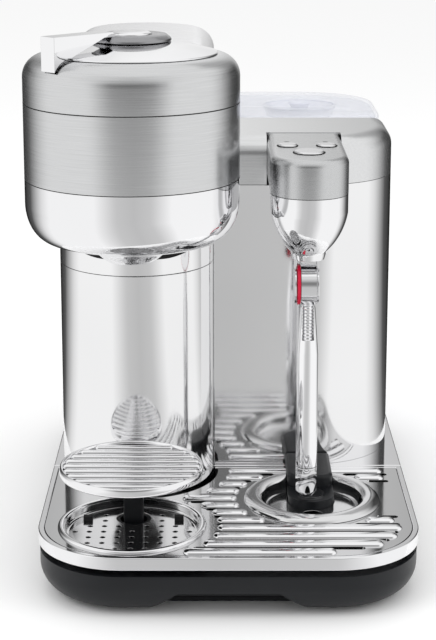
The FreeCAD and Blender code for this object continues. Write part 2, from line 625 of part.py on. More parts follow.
def make_lid():
    r = S.head_radius
    w = S.head_wall
    x, y = S.head_x, S.head_y
    bottom = S.band_top + S.slip
    roll = S.lid_roll
    straight = S.lid_straight - S.slip
    crown = r - roll
    top = straight + roll
    back = y + r + S.hinge_back
    pin_z = bottom + S.hinge_lug
    shell = turned("lid_turned", [(r, 0), (r, straight, roll), (crown, top), (crown - 4, top),
                                  (crown - 4, top - w), (crown, top - w, w - roll), (r - w, straight),
                                  (r - w, 0)], x, y, bottom)
    lugs = []
    for i, side in enumerate((-1, 1)):
        reach = 14
        centre = S.hinge_length / 2 - 6
        lug_x = x + side * centre - 5
        arm = box("lid_lug_arm_%d" % i, lug_x, back - reach, pin_z - S.hinge_lug, 10, reach, 2 * S.hinge_lug)
        eye = rod("lid_lug_eye_%d" % i, lug_x, back, pin_z, S.hinge_lug, 10, "x")
        lugs += [arm, eye]
    inside = turned("lid_inside", [(0, 0), (r - w, 0), (r - w, straight), (0, straight)], x, y, bottom)
    lug_set = cut("lid_lugs", fuse("lid_lug_set", *lugs), inside)
    pin_bore = rod("lid_pin_bore", x - 40, back, pin_z, S.hinge_pin_radius + S.pin_play, 80, "x")
    node("lid_shell", cut("lid_bored", fuse("lid_joined", shell, lug_set), pin_bore))

    rise = S.crown_rise
    t = S.crown_wall
    hole = S.hub_radius - 10
    node("lid_crown", turned("crown_turned", [(hole, rise - t), (crown - 4.2, -t), (crown - 4.2, 0.2), (crown, 0.2),
                                              (crown - 0.5, 1.2), (S.hub_radius, rise), (hole, rise)],
                              x, y, bottom + top))
    plate = turned("pierce_turned", [(6, -14), (14, -14), (14, -8), (S.chamber_radius - 4, -4),
                                     (S.chamber_radius - 4, 0), (6, 0)], x, y, bottom + straight)
    node("pierce_plate", plate)
    node("pierce_carrier", ring("carrier", x, y, bottom + straight + 0.1, crown - 6, S.hub_radius - 3, 3))

    hub_z = bottom + top + rise + S.slip
    hub = turned("hub_turned", [(S.brew_button_radius + S.slip, 0), (S.hub_radius, 0), (S.hub_radius, 1.5),
                                (S.hub_radius - 3, S.hub_height), (S.brew_button_radius + S.slip, S.hub_height)],
                 x, y, hub_z)
    lock = turned("lock_turned", [(S.brew_button_radius + S.slip, -14), (hole - 0.4, -14), (hole - 0.4, 0),
                                  (S.brew_button_radius + S.slip, 0)], x, y, hub_z)
    node("lever_hub", fuse("hub_joined", hub, lock))

    body = doc.addObject("PartDesign::Body", "lever_body")
    centre_z = bottom + straight
    off = roll + 2
    past = S.lever_reach
    reach = crown - 1 + past
    low = root(off * off - past * past)
    profile = [(S.hub_radius - 9, hub_z + S.hub_height + 0.05), (S.hub_radius + 2, hub_z + S.hub_height + 0.05),
               (crown - 1, centre_z + off, -off), (reach, centre_z + low),
               (reach, S.lever_top), (S.hub_radius - 5, S.lever_top)]
    sketch = outline(body, "lever_side", "XZ_Plane", profile)
    pad = body.newObject("PartDesign::Pad", "lever_pad")
    pad.Profile = sketch
    bind(pad, "Length", S.lever_width)
    pad.Midplane = True
    place(body, x, y)
    body.setExpression("Placement.Rotation.Angle", S.lever_angle.text)
    node("lever", body)

    b = S.brew_button_radius
    node("brew_button", turned("brew_button_turned", [(0, -8), (b, -8), (b, S.hub_height + 0.6),
                                                      (b - 1.5, S.hub_height + 1.6),
                                                      (0, S.hub_height + 1.2)], x, y, hub_z))

    pin = rod("pin", x - S.hinge_length / 2, back, pin_z, S.hinge_pin_radius, S.hinge_length, "x")
    node("hinge_pin", pin)
    length = S.hinge_length - 26
    bracket_bottom = S.tower_top
    block = box("bracket_block", x - length / 2, back - 3.5, bracket_bottom, length, 12, pin_z - bracket_bottom)
    eye = rod("bracket_eye", x - length / 2, back, pin_z, 3.5, length, "x")
    bore = rod("bracket_bore", x - length / 2, back, pin_z, S.hinge_pin_radius, length, "x")
    node("hinge_bracket", cut("bracket", fuse("bracket_blank", block, eye), bore))


# ---------------------------------------------------------------- steam side
def body_plan(inset, front, back, corner):
    left = S.head_x + S.tower_radius + S.gap
    return rounded(left + inset, S.body_side - inset, front + inset, back - inset,
                   None, corner - inset, None, None)


def make_body():
    bottom = S.deck_top
    tall = S.cover_seam - S.slip - bottom
    shell = prism("body_blank", body_plan(0, body_line(), S.body_back, S.body_corner), bottom, tall)
    room = prism("body_room", body_plan(S.steel_wall, body_line(), S.body_back, S.body_corner), bottom, tall)
    node("body_shell", cut("body", shell, room))
    cover_tall = S.cover_top - S.cover_seam
    steel = S.steel_wall
    cover = rolled(prism("cover_blank", body_plan(0, body_line(), S.body_back, S.body_corner),
                         S.cover_seam, cover_tall), S.cover_roll, cover_tall)
    under = rolled(prism("cover_room", body_plan(steel, body_line(), S.body_back, S.body_corner),
                         S.cover_seam, cover_tall - steel), S.cover_roll - steel, cover_tall - steel)
    pocket = prism("cover_pocket", steam_plan(-S.slip, S.steam_back), S.steam_seam - S.slip - 8, 100)
    node("top_cover", cut("cover", cover, under, pocket))


def steam_plan(inset, back):
    r = S.steam_radius - inset
    return rounded(S.steam_x - r, S.steam_x + r, S.steam_y - r, back - inset, r, r, None, None)


def make_steam_head():
    bottom = S.steam_seam
    tall = S.cover_top - bottom
    roll = 5
    cap = rolled(prism("steam_cap_blank", steam_plan(0, S.steam_back), bottom, tall), roll, tall)
    room = prism("steam_cap_room", steam_plan(2, S.steam_back), bottom, tall - 3)
    wells = []
    buttons = []
    spots = [("temperature_button", -13, 33, 6.5), ("froth_button", 13, 33, 6.5), ("steam_button", 0, 7, 10)]
    for name, dx, dy, radius in spots:
        x = S.steam_x + dx
        y = S.steam_y + dy
        wells.append(rod(name + "_well", x, y, bottom, radius + S.slip, 60))
        buttons.append((name, turned(name + "_turned", [(0, -4), (radius, -4), (radius, 0.6), (radius - 1, 1.5),
                                                        (0, 1.3)], x, y, S.cover_top)))
    node("steam_cap", cut("steam_cap_cut", cap, room, *wells))
    for name, button in buttons:
        node(name, button)

    r = S.steam_radius
    depth = bottom - S.slip - S.steam_bottom
    bowl = turned("steam_bowl_turned", [(0, 0), (S.steam_neck, 0), (S.steam_neck + 1.5, 5, 48.0), (r, depth - 12),
                                        (r, depth), (0, depth)], S.steam_x, S.steam_y, S.steam_bottom)
    arm = prism("steam_arm", rounded(S.steam_x - r + 4, S.steam_x + r - 4, S.steam_y, body_line() - S.slip / 3,
                                     None, None, None, None), bottom - S.slip - 20, 20)
    node("steam_bowl", fuse("steam_lower", bowl, arm))
    thick = 1.5
    drop = S.steam_bottom - S.wand_pivot
    ears = []
    for side, x in (("left", knuckle_left() - S.slip - thick), ("right", knuckle_right() + S.slip)):
        ears.append(fuse("ear_" + side, rod("ear_disc_" + side, x, S.steam_y, S.wand_pivot, S.knuckle_radius - 1,
                                            thick, "x"),
                         box("ear_stem_" + side, x, S.steam_y - 4, S.wand_pivot, thick, 8, drop)))
    pin_bore = rod("ear_bore", S.steam_x - 20, S.steam_y, S.wand_pivot, 2, 40, "x")
    node("wand_ears", cut("ears", group("ear_pair", *ears), pin_bore))
    pin_start = knuckle_left() - S.slip - thick
    node("wand_pin", rod("wand_pin_rod", pin_start, S.steam_y, S.wand_pivot, 2,
                         knuckle_right() + S.slip + thick - pin_start, "x"))


def knuckle_left():
    """The red ring's outer face."""
    return S.steam_x - S.knuckle_width / 2 - S.ring_width - S.slip


def knuckle_right():
    return S.steam_x + S.knuckle_width / 2


def make_wand():
    x, y = S.steam_x, S.steam_y
    r = S.wand_radius
    pivot = S.wand_pivot
    barrel = rod("knuckle_barrel", x - S.knuckle_width / 2, y, pivot, S.knuckle_radius, S.knuckle_width, "x")
    neck_bottom = pivot - S.knuckle_radius - 27
    neck = rod("knuckle_neck", x, y, neck_bottom, S.neck_radius, pivot - neck_bottom)
    bore = rod("knuckle_bore", x - 20, y, pivot, 2 + S.pin_play, 40, "x")
    node("wand_knuckle", cut("knuckle", fuse("knuckle_blank", barrel, neck), bore))
    collar_x = knuckle_left()
    node("wand_collar", cut("collar_ring", rod("collar_disc", collar_x, y, pivot, S.knuckle_radius, S.ring_width, "x"),
                            rod("collar_bore", x - 20, y, pivot, S.knuckle_radius - 3, 40, "x")))
    tube_top = pivot - S.knuckle_radius - 1.5
    collar_z = S.wand_bottom + 21
    tall = tube_top - collar_z
    tube = turned("tube_turned", [(2.5, 0), (r, 0), (r, tall - 32), (r - 2.2, tall), (2.5, tall)], x, y, collar_z)
    fork_gap = S.neck_radius + 0.8
    fork = fuse("tube_fork", box("fork_slot", x - fork_gap, y - 10, tube_top - 22, 2 * fork_gap, 20, 30),
                rod("fork_well", x, y, neck_bottom - 0.1, S.neck_radius + 0.1, 60))
    node("wand_tube", cut("tube_forked", tube, fork))
    node("wand_tip", turned("tip_turned", [(1, 0), (4, 0), (r, 4), (r, 20.6), (1, 20.6)], x, y, S.wand_bottom))


# ---------------------------------------------------------------- water tank
def tank_plan(inset, corner):
    left = S.head_x + S.tower_radius + 2 * S.gap
    return rounded(left + inset, S.base_right - S.tank_inset - inset, S.tank_front + inset,
                   S.base_back - inset, None, 24 - inset, corner - inset, 20 - inset)


def make_tank():
    floor = S.tank_floor
    tall = S.tank_top - floor
    w = S.tank_wall
    corner = S.base_corner
    blank = prism("tank_blank", tank_plan(0, corner), floor, tall)
    room = prism("tank_room", tank_plan(w, corner), floor + w, tall)
    outlet_x = S.jug_x
    outlet_y = S.tank_front + 30
    node("water_tank", cut("tank", blank, room,
                           rod("tank_outlet", outlet_x, outlet_y, floor - 5, 8 + S.slip, 20)))
    node("tank_valve", turned("valve_turned", [(0, -4), (6, -4), (6, 0), (8, 0), (8, w), (11, w), (11, w + 3),
                                               (0, w + 8)], outlet_x, outlet_y, floor))

    z = S.tank_top + S.slip
    lid = rolled(prism("tank_lid_blank", tank_plan(0, corner), z, S.lid_height), 3, S.lid_height)
    under = prism("tank_lid_room", tank_plan(w, corner), z, S.lid_height - w)
    centre_y = (S.tank_front + S.base_back) / 2
    well_depth = S.lid_height - w
    well = turned("lid_well_cup", [(0, -well_depth), (S.lid_well - 4, -well_depth), (S.lid_well, 0),
                                   (S.lid_well - w, 0.01), (S.lid_well - 4 - w, w - well_depth),
                                   (0, w - well_depth)], S.jug_x, centre_y, z + S.lid_height)
    hole = rod("lid_well_hole", S.jug_x, centre_y, z - 1, S.lid_well - 0.4, 40)
    k = S.knob_radius
    knob = turned("tank_knob_turned", [(0, -1), (k - 1, -1), (k - 2.5, 4), (k, 7.5), (k - 1.5, 9), (0, 9.4)],
                  S.jug_x, centre_y, z + S.lid_height + w - well_depth)
    node("tank_lid", fuse("tank_lid_joined", cut("tank_lid_cut", lid, under, hole), well, knob))


# ---------------------------------------------------------------- what works inside
def make_inside():
    floor = S.deck_top + 0.5
    node("water_pump", fuse("pump", rod("pump_coil", 30, -8, 82, 18, 42, "y"),
                            rod("pump_nose", 30, 33, 82, 9, 22, "y"),
                            box("pump_foot", 18, -2, floor, 24, 30, 30)))
    node("steam_boiler", turned("boiler_turned", [(0, 0), (22, 0), (22, 3), (8, 3), (8, 12), (20, 12), (26, 18),
                                                  (26, 108), (20, 114), (0, 114)], 88, 22, floor))
    node("control_board", box("board", 8, (body_line() + S.body_back) / 2 - 35, floor + 4, 1.8, 74, 150))
    node("brew_heater", turned("heater_turned", [(0, 0), (26, 0), (26, 3), (10, 3), (10, 19), (30, 19), (30, 89),
                                                 (24, 95), (0, 95)], S.head_x, S.tower_centre_y + 8,
                               S.skirt_top + 1))
    node("spin_motor", fuse("motor", rod("motor_can", S.head_x, bay_line() - 16, 222, 11, 60),
                            box("motor_shelf", S.head_x - 30, bay_line() - 28, 218, 60, 24, 4.5)))
    gland_z = 58
    node("cord_gland", turned_gland("gland", gland_z))


def turned_gland(name, z):
    """The cord's inlet: a short threaded-looking bush through the column's back wall."""
    outer = rod(name + "_flange", S.head_x, S.tower_back + 0.1, z, 11, 4, "y")
    nose = rod(name + "_nose", S.head_x, S.tower_back + 0.1, z, 7.5, 9.5, "y")
    bore = rod(name + "_bore", S.head_x, S.tower_back - 2, z, 4, 20, "y")
    return cut(name, fuse(name + "_blank", outer, nose), bore)


make_base()
make_tray()
make_sensor()
make_stand()
make_tower()
make_head()
make_lid()
make_body()
make_steam_head()
make_wand()
make_tank()
make_inside()
doc.recompute()

failed = [o.Name for o in doc.Objects if "Invalid" in o.State or "Error" in o.State]
failed += [name for name, o in nodes.items() if o.Shape.isNull() or not o.Shape.isValid()]
if failed:
    raise SystemExit("failed: " + ", ".join(failed))
os.makedirs("parts", exist_ok=True)
for name, obj in nodes.items():
    obj.Shape.exportStep("parts/%s.step" % name)
    print("%-20s %9.0f mm3  %d solid(s)" % (name, obj.Shape.Volume, len(obj.Shape.Solids)))
print(len(nodes), "nodes")
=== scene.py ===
"""Looks of the pod coffee machine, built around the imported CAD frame. Metres, +Z up, front at -Y."""
import json
import math

import bmesh
import bpy
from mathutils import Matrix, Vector

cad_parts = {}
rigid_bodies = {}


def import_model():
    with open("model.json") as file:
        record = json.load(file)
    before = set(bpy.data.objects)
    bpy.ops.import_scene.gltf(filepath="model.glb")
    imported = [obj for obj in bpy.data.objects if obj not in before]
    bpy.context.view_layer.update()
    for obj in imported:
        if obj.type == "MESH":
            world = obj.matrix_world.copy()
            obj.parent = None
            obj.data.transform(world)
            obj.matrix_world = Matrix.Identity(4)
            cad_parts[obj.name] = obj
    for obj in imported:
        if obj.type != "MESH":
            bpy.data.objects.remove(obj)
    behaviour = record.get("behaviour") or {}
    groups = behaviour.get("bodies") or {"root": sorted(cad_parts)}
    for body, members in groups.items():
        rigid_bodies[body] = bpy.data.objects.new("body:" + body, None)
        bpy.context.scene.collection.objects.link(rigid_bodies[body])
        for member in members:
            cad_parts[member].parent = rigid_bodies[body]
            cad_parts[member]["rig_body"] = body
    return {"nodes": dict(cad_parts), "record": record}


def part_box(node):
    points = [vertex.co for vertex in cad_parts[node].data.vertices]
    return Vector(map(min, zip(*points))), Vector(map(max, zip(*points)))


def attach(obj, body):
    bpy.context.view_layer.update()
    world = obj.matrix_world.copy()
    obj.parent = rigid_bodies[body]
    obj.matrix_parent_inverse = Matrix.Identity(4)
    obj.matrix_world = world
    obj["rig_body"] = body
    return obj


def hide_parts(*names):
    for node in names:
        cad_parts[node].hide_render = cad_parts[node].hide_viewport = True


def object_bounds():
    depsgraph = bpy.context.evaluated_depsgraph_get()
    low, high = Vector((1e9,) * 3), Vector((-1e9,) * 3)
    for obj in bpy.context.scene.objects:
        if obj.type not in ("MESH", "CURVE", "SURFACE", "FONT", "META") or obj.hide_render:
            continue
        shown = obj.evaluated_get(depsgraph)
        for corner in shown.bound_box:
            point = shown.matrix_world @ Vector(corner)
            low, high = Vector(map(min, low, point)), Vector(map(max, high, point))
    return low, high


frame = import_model()
cad_low, cad_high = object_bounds()
MM = 0.001

# sizes of the design that the node boxes don't give
CORNER = 56 * MM
BAND_EDGE = 4.3 * MM
STEEL_WALL = 2 * MM
BOWL_FOOT = 53 * MM
BOWL_FLOOR = 2.4 * MM
BOWL_BEND = 0.62
SLOT_PITCH = 13 * MM
FIRST_SLOT = 16 * MM
SLAT_PITCH = 9 * MM
SLAT_COUNT = 9
NECK_RADIUS = 3.2 * MM
SEAM_LINE = 0.42 * MM
BUTTON_GAP = 0.45 * MM


# ---------------------------------------------------------------- places, all read from the frame
def middle(node):
    low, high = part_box(node)
    return (low + high) / 2


def low_of(node):
    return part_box(node)[0]


def high_of(node):
    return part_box(node)[1]


def half_width(node):
    return (high_of(node).x - low_of(node).x) / 2


HEAD = middle("head_band")
HEAD_RADIUS = half_width("head_band")
DISH_RADIUS = half_width("cup_dish")
JUG_RADIUS = half_width("jug_dish")
JUG = middle("jug_dish")
JUG.y = low_of("jug_dish").y + JUG_RADIUS
CUP = middle("cup_stand")
WAND = middle("wand_tube")
COLUMN_RADIUS = half_width("column_shell")
COLUMN = Vector((CUP.x, low_of("column_shell").y + COLUMN_RADIUS, 0))


# ---------------------------------------------------------------- materials
class Finish:
    """A node material under construction."""

    def __init__(self, name, colour=(0.8, 0.8, 0.8), metal=0.0, rough=0.5, **sockets):
        self.material = bpy.data.materials.new(name)
        self.material.use_nodes = True
        self.tree = self.material.node_tree
        self.shader = self.tree.nodes["Principled BSDF"]
        self.shader.inputs["Base Color"].default_value = (*colour, 1)
        self.shader.inputs["Metallic"].default_value = metal
        self.shader.inputs["Roughness"].default_value = rough
        for socket, value in sockets.items():
            self.shader.inputs[socket.replace("_", " ")].default_value = value

    def add(self, kind, links=None, **settings):
        node = self.tree.nodes.new(kind)
        for key, value in settings.items():
            setattr(node, key, value)
        for socket, value in (links or {}).items():
            self.feed(node, socket, value)
        return node

    def feed(self, node, socket, value):
        if isinstance(value, bpy.types.NodeSocket):
            self.tree.links.new(value, node.inputs[socket])
        else:
            node.inputs[socket].default_value = value

    def maths(self, operation, a, b=0.0):
        return self.add("ShaderNodeMath", {0: a, 1: b}, operation=operation).outputs[0]

    def place(self):
        return self.add("ShaderNodeTexCoord").outputs["Object"]

    def noise(self, vector, scale, detail=4.0, rough=0.55):
        return self.add("ShaderNodeTexNoise", {"Vector": vector, "Scale": scale, "Detail": detail,
                                               "Roughness": rough}).outputs["Fac"]

    def spread(self, fac, low, high):
        """Turn a 0 to 1 value, mostly near the middle, into the range low to high."""
        return self.add("ShaderNodeMapRange", {"Value": fac, "From Min": 0.3, "From Max": 0.7, "To Min": low,
                                               "To Max": high}).outputs["Result"]

    def tint(self, fac, dark, light):
        mix = self.add("ShaderNodeMix", data_type="RGBA")
        self.feed(mix, 0, fac)
        mix.inputs[6].default_value = (*dark, 1)
        mix.inputs[7].default_value = (*light, 1)
        self.feed(self.shader, "Base Color", mix.outputs[2])

    def rough(self, value):
        self.feed(self.shader, "Roughness", value)

    def bump(self, height, strength, distance):
        bump = self.add("ShaderNodeBump", {"Height": height, "Strength": strength, "Distance": distance})
        self.feed(self.shader, "Normal", bump.outputs["Normal"])


def polished(name="polished", colour=(0.90, 0.90, 0.91), low=0.03, high=0.09):
    """Mirror steel with faint wiping marks and a very slight waviness."""
    f = Finish(name, colour, 1.0, low)
    place = f.place()
    smear = f.noise(place, 45.0, 5.0)
    f.rough(f.spread(smear, low, high))
    darker = tuple(c * 0.96 for c in colour)
    f.tint(f.spread(f.noise(place, 9.0, 2.0), 0.0, 1.0), darker, colour)
    f.bump(f.noise(place, 30.0, 2.0), 0.05, 0.0004)
    return f.material


def brushed(name, centre=None, colour=(0.66, 0.665, 0.67), low=0.17, high=0.26, across=1700.0, along=22.0):
    """Brushed steel; with a centre the grain runs round that vertical axis, else along X."""
    f = Finish(name, colour, 1.0, low)
    parts = f.add("ShaderNodeSeparateXYZ", {0: f.place()})
    if centre is None:
        vector = f.add("ShaderNodeCombineXYZ", {0: f.maths("MULTIPLY", parts.outputs[0], along),
                                                1: f.maths("MULTIPLY", parts.outputs[1], across),
                                                2: f.maths("MULTIPLY", parts.outputs[2], across)}).outputs[0]
    else:
        x = f.maths("SUBTRACT", parts.outputs[0], centre.x)
        y = f.maths("SUBTRACT", parts.outputs[1], centre.y)
        angle = f.maths("ARCTAN2", x, f.maths("MULTIPLY", y, -1.0))
        reach = f.maths("SQRT", f.maths("ADD", f.maths("MULTIPLY", x, x), f.maths("MULTIPLY", y, y)))
        vector = f.add("ShaderNodeCombineXYZ", {0: f.maths("MULTIPLY", angle, along * HEAD_RADIUS),
                                                1: f.maths("MULTIPLY", reach, across),
                                                2: f.maths("MULTIPLY", parts.outputs[2], across)}).outputs[0]
    grain = f.noise(vector, 1.0, 6.0, 0.6)
    f.rough(f.spread(grain, low, high))
    f.tint(f.spread(grain, 0.0, 1.0), tuple(c * 0.92 for c in colour), tuple(min(1, c * 1.05) for c in colour))
    f.bump(grain, 0.18, 0.00008)
    return f.material


def plastic(name, colour, low=0.32, high=0.45, grain=1800.0, depth=0.00008):
    """Moulded plastic with a fine spark-eroded grain."""
    f = Finish(name, colour, 0.0, low, Specular_IOR_Level=0.3)
    place = f.place()
    texture = f.noise(place, grain, 3.0)
    f.rough(f.spread(texture, low, high))
    f.tint(f.spread(f.noise(place, 14.0, 3.0), 0.0, 1.0), tuple(c * 0.8 for c in colour), colour)
    f.bump(texture, 0.35, depth)
    return f.material


def rubber(name="rubber"):
    return plastic(name, (0.02, 0.02, 0.021), 0.6, 0.8, 900.0, 0.0001)


def clear(name="clear_tank"):
    """Clear moulded plastic with a faint cool tint."""
    f = Finish(name, (0.84, 0.86, 0.93), 0.0, 0.05, Alpha=0.28, IOR=1.45)
    place = f.place()
    f.rough(f.spread(f.noise(place, 35.0, 3.0), 0.03, 0.09))
    f.tint(f.spread(f.noise(place, 9.0, 2.0), 0.0, 1.0), (0.80, 0.82, 0.90), (0.86, 0.88, 0.95))
    f.bump(f.noise(place, 18.0, 2.0), 0.08, 0.0005)
    return f.material


def cast(name, colour=(0.55, 0.55, 0.56)):
    f = Finish(name, colour, 1.0, 0.45)
    place = f.place()
    texture = f.noise(place, 600.0, 5.0)
    f.rough(f.spread(texture, 0.4, 0.6))
    f.tint(f.spread(f.noise(place, 60.0, 3.0), 0.0, 1.0), tuple(c * 0.8 for c in colour), colour)
    f.bump(texture, 0.5, 0.0002)
    return f.material


def board_green(name="board_green"):
    f = Finish(name, (0.02, 0.16, 0.06), 0.0, 0.4)
    cells = f.add("ShaderNodeTexVoronoi", {"Vector": f.place(), "Scale": 160.0}, distance="CHEBYCHEV")
    f.tint(cells.outputs["Distance"], (0.01, 0.1, 0.04), (0.05, 0.3, 0.12))
    return f.material


MIRROR = polished()
MIRROR_BODY = polished("polished_body", (0.88, 0.88, 0.885), 0.05, 0.11)
GRILLE = polished("polished_grille", (0.70, 0.70, 0.705), 0.05, 0.11)
DISH = polished("polished_dish", (0.74, 0.74, 0.745), 0.07, 0.14)
PIPE = polished("polished_wand", (0.93, 0.93, 0.94), 0.02, 0.05)
ROUND_BRUSH = brushed("brushed_round", HEAD)
FLAT_BRUSH = brushed("brushed_flat", None, (0.74, 0.745, 0.75), 0.18, 0.26)
SATIN = brushed("satin_button", None, (0.8, 0.8, 0.81), 0.16, 0.26)
BLACK = plastic("black_plastic", (0.009, 0.010, 0.012))
GREY = plastic("inner_plastic", (0.18, 0.18, 0.19))
RUBBER = rubber()
# near-black for seam lines, button gaps, printed dashes and the stand's under-plate, and for the sheet painted
# as shade under the bowl
SEAM_AND_SHADE = plastic("seam_shadow", (0.008, 0.008, 0.008), 0.6, 0.8)
RED = plastic("red_ring", (0.62, 0.012, 0.045), 0.15, 0.25, 700.0)
CLEAR = clear()
CAST = cast("cast_metal")
STEEL = brushed("plain_steel", None, (0.5, 0.5, 0.51), 0.3, 0.45, 600.0, 60.0)
BOARD = board_green()


# ---------------------------------------------------------------- mesh helpers
def new_object(name, mesh, material, body, slot, *hidden):
    """A shown piece that rides a body, and hides the CAD nodes it stands for."""
    piece = bpy.data.objects.new(name, mesh)
    bpy.context.scene.collection.objects.link(piece)
    mesh.materials.clear()
    mesh.materials.append(material)
    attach(piece, body)
    if hidden:
        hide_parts(*hidden)
    return piece


def from_bmesh(name, bm, smooth_angle=35):
    bmesh.ops.remove_doubles(bm, verts=bm.verts, dist=1e-6)
    bmesh.ops.recalc_face_normals(bm, faces=bm.faces)
    mesh = bpy.data.meshes.new(name)
    bm.to_mesh(mesh)
    bm.free()
    mesh.shade_smooth()
    mesh.set_sharp_from_angle(angle=math.radians(smooth_angle))
    return mesh


def lathe(name, profile, centre, steps=128, smooth_angle=35):
    """Turn a closed (radius, height) outline in metres round a vertical axis."""
    bm = bmesh.new()
    rings = []
    for r, z in profile:
        if r < 1e-7:
            rings.append([bm.verts.new((centre.x, centre.y, centre.z + z))])
            continue
        ring = []
        for i in range(steps):
            a = 2 * math.pi * i / steps
            ring.append(bm.verts.new((centre.x + r * math.cos(a), centre.y + r * math.sin(a), centre.z + z)))
        rings.append(ring)
    for k, ring in enumerate(rings):
        following = rings[(k + 1) % len(rings)]
        if len(ring) == 1 and len(following) == 1:
            continue
        for i in range(steps):
            j = (i + 1) % steps
            if len(ring) == 1:
                bm.faces.new((ring[0], following[i], following[j]))
            elif len(following) == 1:
                bm.faces.new((ring[i], ring[j], following[0]))
            else:
                bm.faces.new((ring[i], ring[j], following[j], following[i]))
    return from_bmesh(name, bm, smooth_angle)


def ball_ring(name, centre, radius, thick, steps=128, around=12):
    profile = [(radius + thick * math.cos(2 * math.pi * k / around), thick * math.sin(2 * math.pi * k / around))
               for k in range(around)]
    return lathe(name, profile, centre, steps, 180)


def soften(node, width, material, segments=3):
    """A copy of a CAD node whose sharp edges are rounded, as pressed or moulded metal is."""
    source = frame["nodes"][node]
    mesh = source.data.copy()
    bm = bmesh.new()
    bm.from_mesh(mesh)
    bmesh.ops.remove_doubles(bm, verts=bm.verts, dist=2e-6)
    bmesh.ops.dissolve_limit(bm, angle_limit=math.radians(0.6), verts=bm.verts, edges=bm.edges)
    bm.to_mesh(mesh)
    bm.free()
    if "custom_normal" in mesh.attributes:
        mesh.attributes.remove(mesh.attributes["custom_normal"])
    mesh.shade_smooth()
    mesh.set_sharp_from_angle(angle=math.radians(40))
    body = source["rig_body"]
    slots = {s["node"]: s["material_slot"] for s in frame["record"]["subparts"]}
    piece = new_object(node + "_soft", mesh, material, body, slots[node], node)
    bevel = piece.modifiers.new("rounded_edges", "BEVEL")
    bevel.width = width
    bevel.segments = segments
    bevel.limit_method = "ANGLE"
    bevel.angle_limit = math.radians(40)
    bevel.harden_normals = True
    bevel.use_clamp_overlap = True
    return piece


def coat(node, material):
    """Give a CAD node that stays its finished material."""
    shown = frame["nodes"][node]
    if shown.data.materials:
        shown.data.materials[0] = material
    else:
        shown.data.materials.append(material)


# ---------------------------------------------------------------- camera and studio
PHOTO_LONG_SIDE = 640
CAMERA_PLACE = Vector((-0.0003, -1.196, 0.4703))
CAMERA_PITCH = math.radians(12.32)
FOCAL_PIXELS = 1720.5
CAMERA_SHIFT = -0.15
SENSOR = 36.0


def make_camera():
    data = bpy.data.cameras.new("camera")
    data.sensor_width = SENSOR
    data.lens = FOCAL_PIXELS / PHOTO_LONG_SIDE * SENSOR
    data.shift_y = CAMERA_SHIFT
    camera = bpy.data.objects.new("camera", data)
    camera.location = CAMERA_PLACE
    camera.rotation_euler = (math.pi / 2 - CAMERA_PITCH, 0, 0)
    bpy.context.scene.collection.objects.link(camera)
    bpy.context.scene.camera = camera


def make_light(name, place, target, size, power):
    data = bpy.data.lights.new(name, "AREA")
    data.shape = "RECTANGLE"
    data.size, data.size_y = size
    data.energy = power
    light = bpy.data.objects.new(name, data)
    light.location = place
    light.rotation_euler = (Vector(target) - Vector(place)).to_track_quat("-Z", "Y").to_euler()
    light.visible_glossy = False
    bpy.context.scene.collection.objects.link(light)


def between(stops, x):
    """Read a value off a list of (place, value) stops, with straight lines between them."""
    for (x0, y0), (x1, y1) in zip(stops, stops[1:]):
        if x <= x1:
            return y0 + (y1 - y0) * (x - x0) / (x1 - x0)
    return stops[-1][1]


# brightness seen by mirrors, against the angle from the front in degrees
LOW_GLOW = [(0, 0.56), (16, 0.62), (36, 1.0), (88, 1.0), (100, 0.80), (114, 0.40), (126, 0.10), (150, 0.02),
            (172, 0.03), (180, 0.10)]
MID_GLOW = [(0, 0.22), (20, 0.26), (40, 1.0), (86, 1.0), (100, 0.74), (114, 0.36), (128, 0.08), (150, 0.06),
            (164, 0.55), (180, 0.90)]
TOP_GLOW = [(0, 0.70), (60, 1.0), (110, 1.0), (136, 0.50), (156, 0.6), (172, 1.0), (180, 1.0)]


def make_tent():
    """A ring of soft cards and a floor card that only mirrors see."""
    reach = 0.95
    rows = [(r, 0.001, 0.0) for r in (0.245, 0.32, 0.42, 0.56, 0.75)]
    rows += [(reach, z, z) for z in (0.001, 0.12, 0.24, 0.36, 0.50, 0.70, 1.0, 1.5)]
    steps = 120
    bm = bmesh.new()
    shade = bm.verts.layers.float_color.new("glow")
    rings = []
    for r, z, height in rows:
        ring = []
        for i in range(steps):
            angle = 360.0 * i / steps
            turn = angle if angle <= 180 else 360 - angle
            low, mid, top = (between(stops, turn) for stops in (LOW_GLOW, MID_GLOW, TOP_GLOW))
            value = between([(0.0, low), (0.14, low), (0.30, mid), (0.50, mid), (0.85, top), (2.0, top)], height)
            a = math.radians(angle)
            vertex = bm.verts.new((r * math.sin(a), -r * math.cos(a), z))
            vertex[shade] = (value, value, value, 1)
            ring.append(vertex)
        rings.append(ring)
    for a, b in zip(rings, rings[1:]):
        for i in range(steps):
            j = (i + 1) % steps
            bm.faces.new((a[i], a[j], b[j], b[i]))
    mesh = bpy.data.meshes.new("tent")
    bm.to_mesh(mesh)
    bm.free()
    glow = bpy.data.materials.new("tent_glow")
    glow.use_nodes = True
    tree = glow.node_tree
    tree.nodes.clear()
    emission = tree.nodes.new("ShaderNodeEmission")
    colour = tree.nodes.new("ShaderNodeAttribute")
    colour.attribute_name = "glow"
    output = tree.nodes.new("ShaderNodeOutputMaterial")
    tree.links.new(colour.outputs["Color"], emission.inputs["Color"])
    tree.links.new(emission.outputs[0], output.inputs["Surface"])
    glow.cycles.emission_sampling = "NONE"
    mesh.materials.append(glow)
    tent = bpy.data.objects.new("tent", mesh)
    tent.visible_camera = False
    tent.visible_diffuse = False
    tent.visible_transmission = False
    tent.visible_shadow = False
    bpy.context.scene.collection.objects.link(tent)


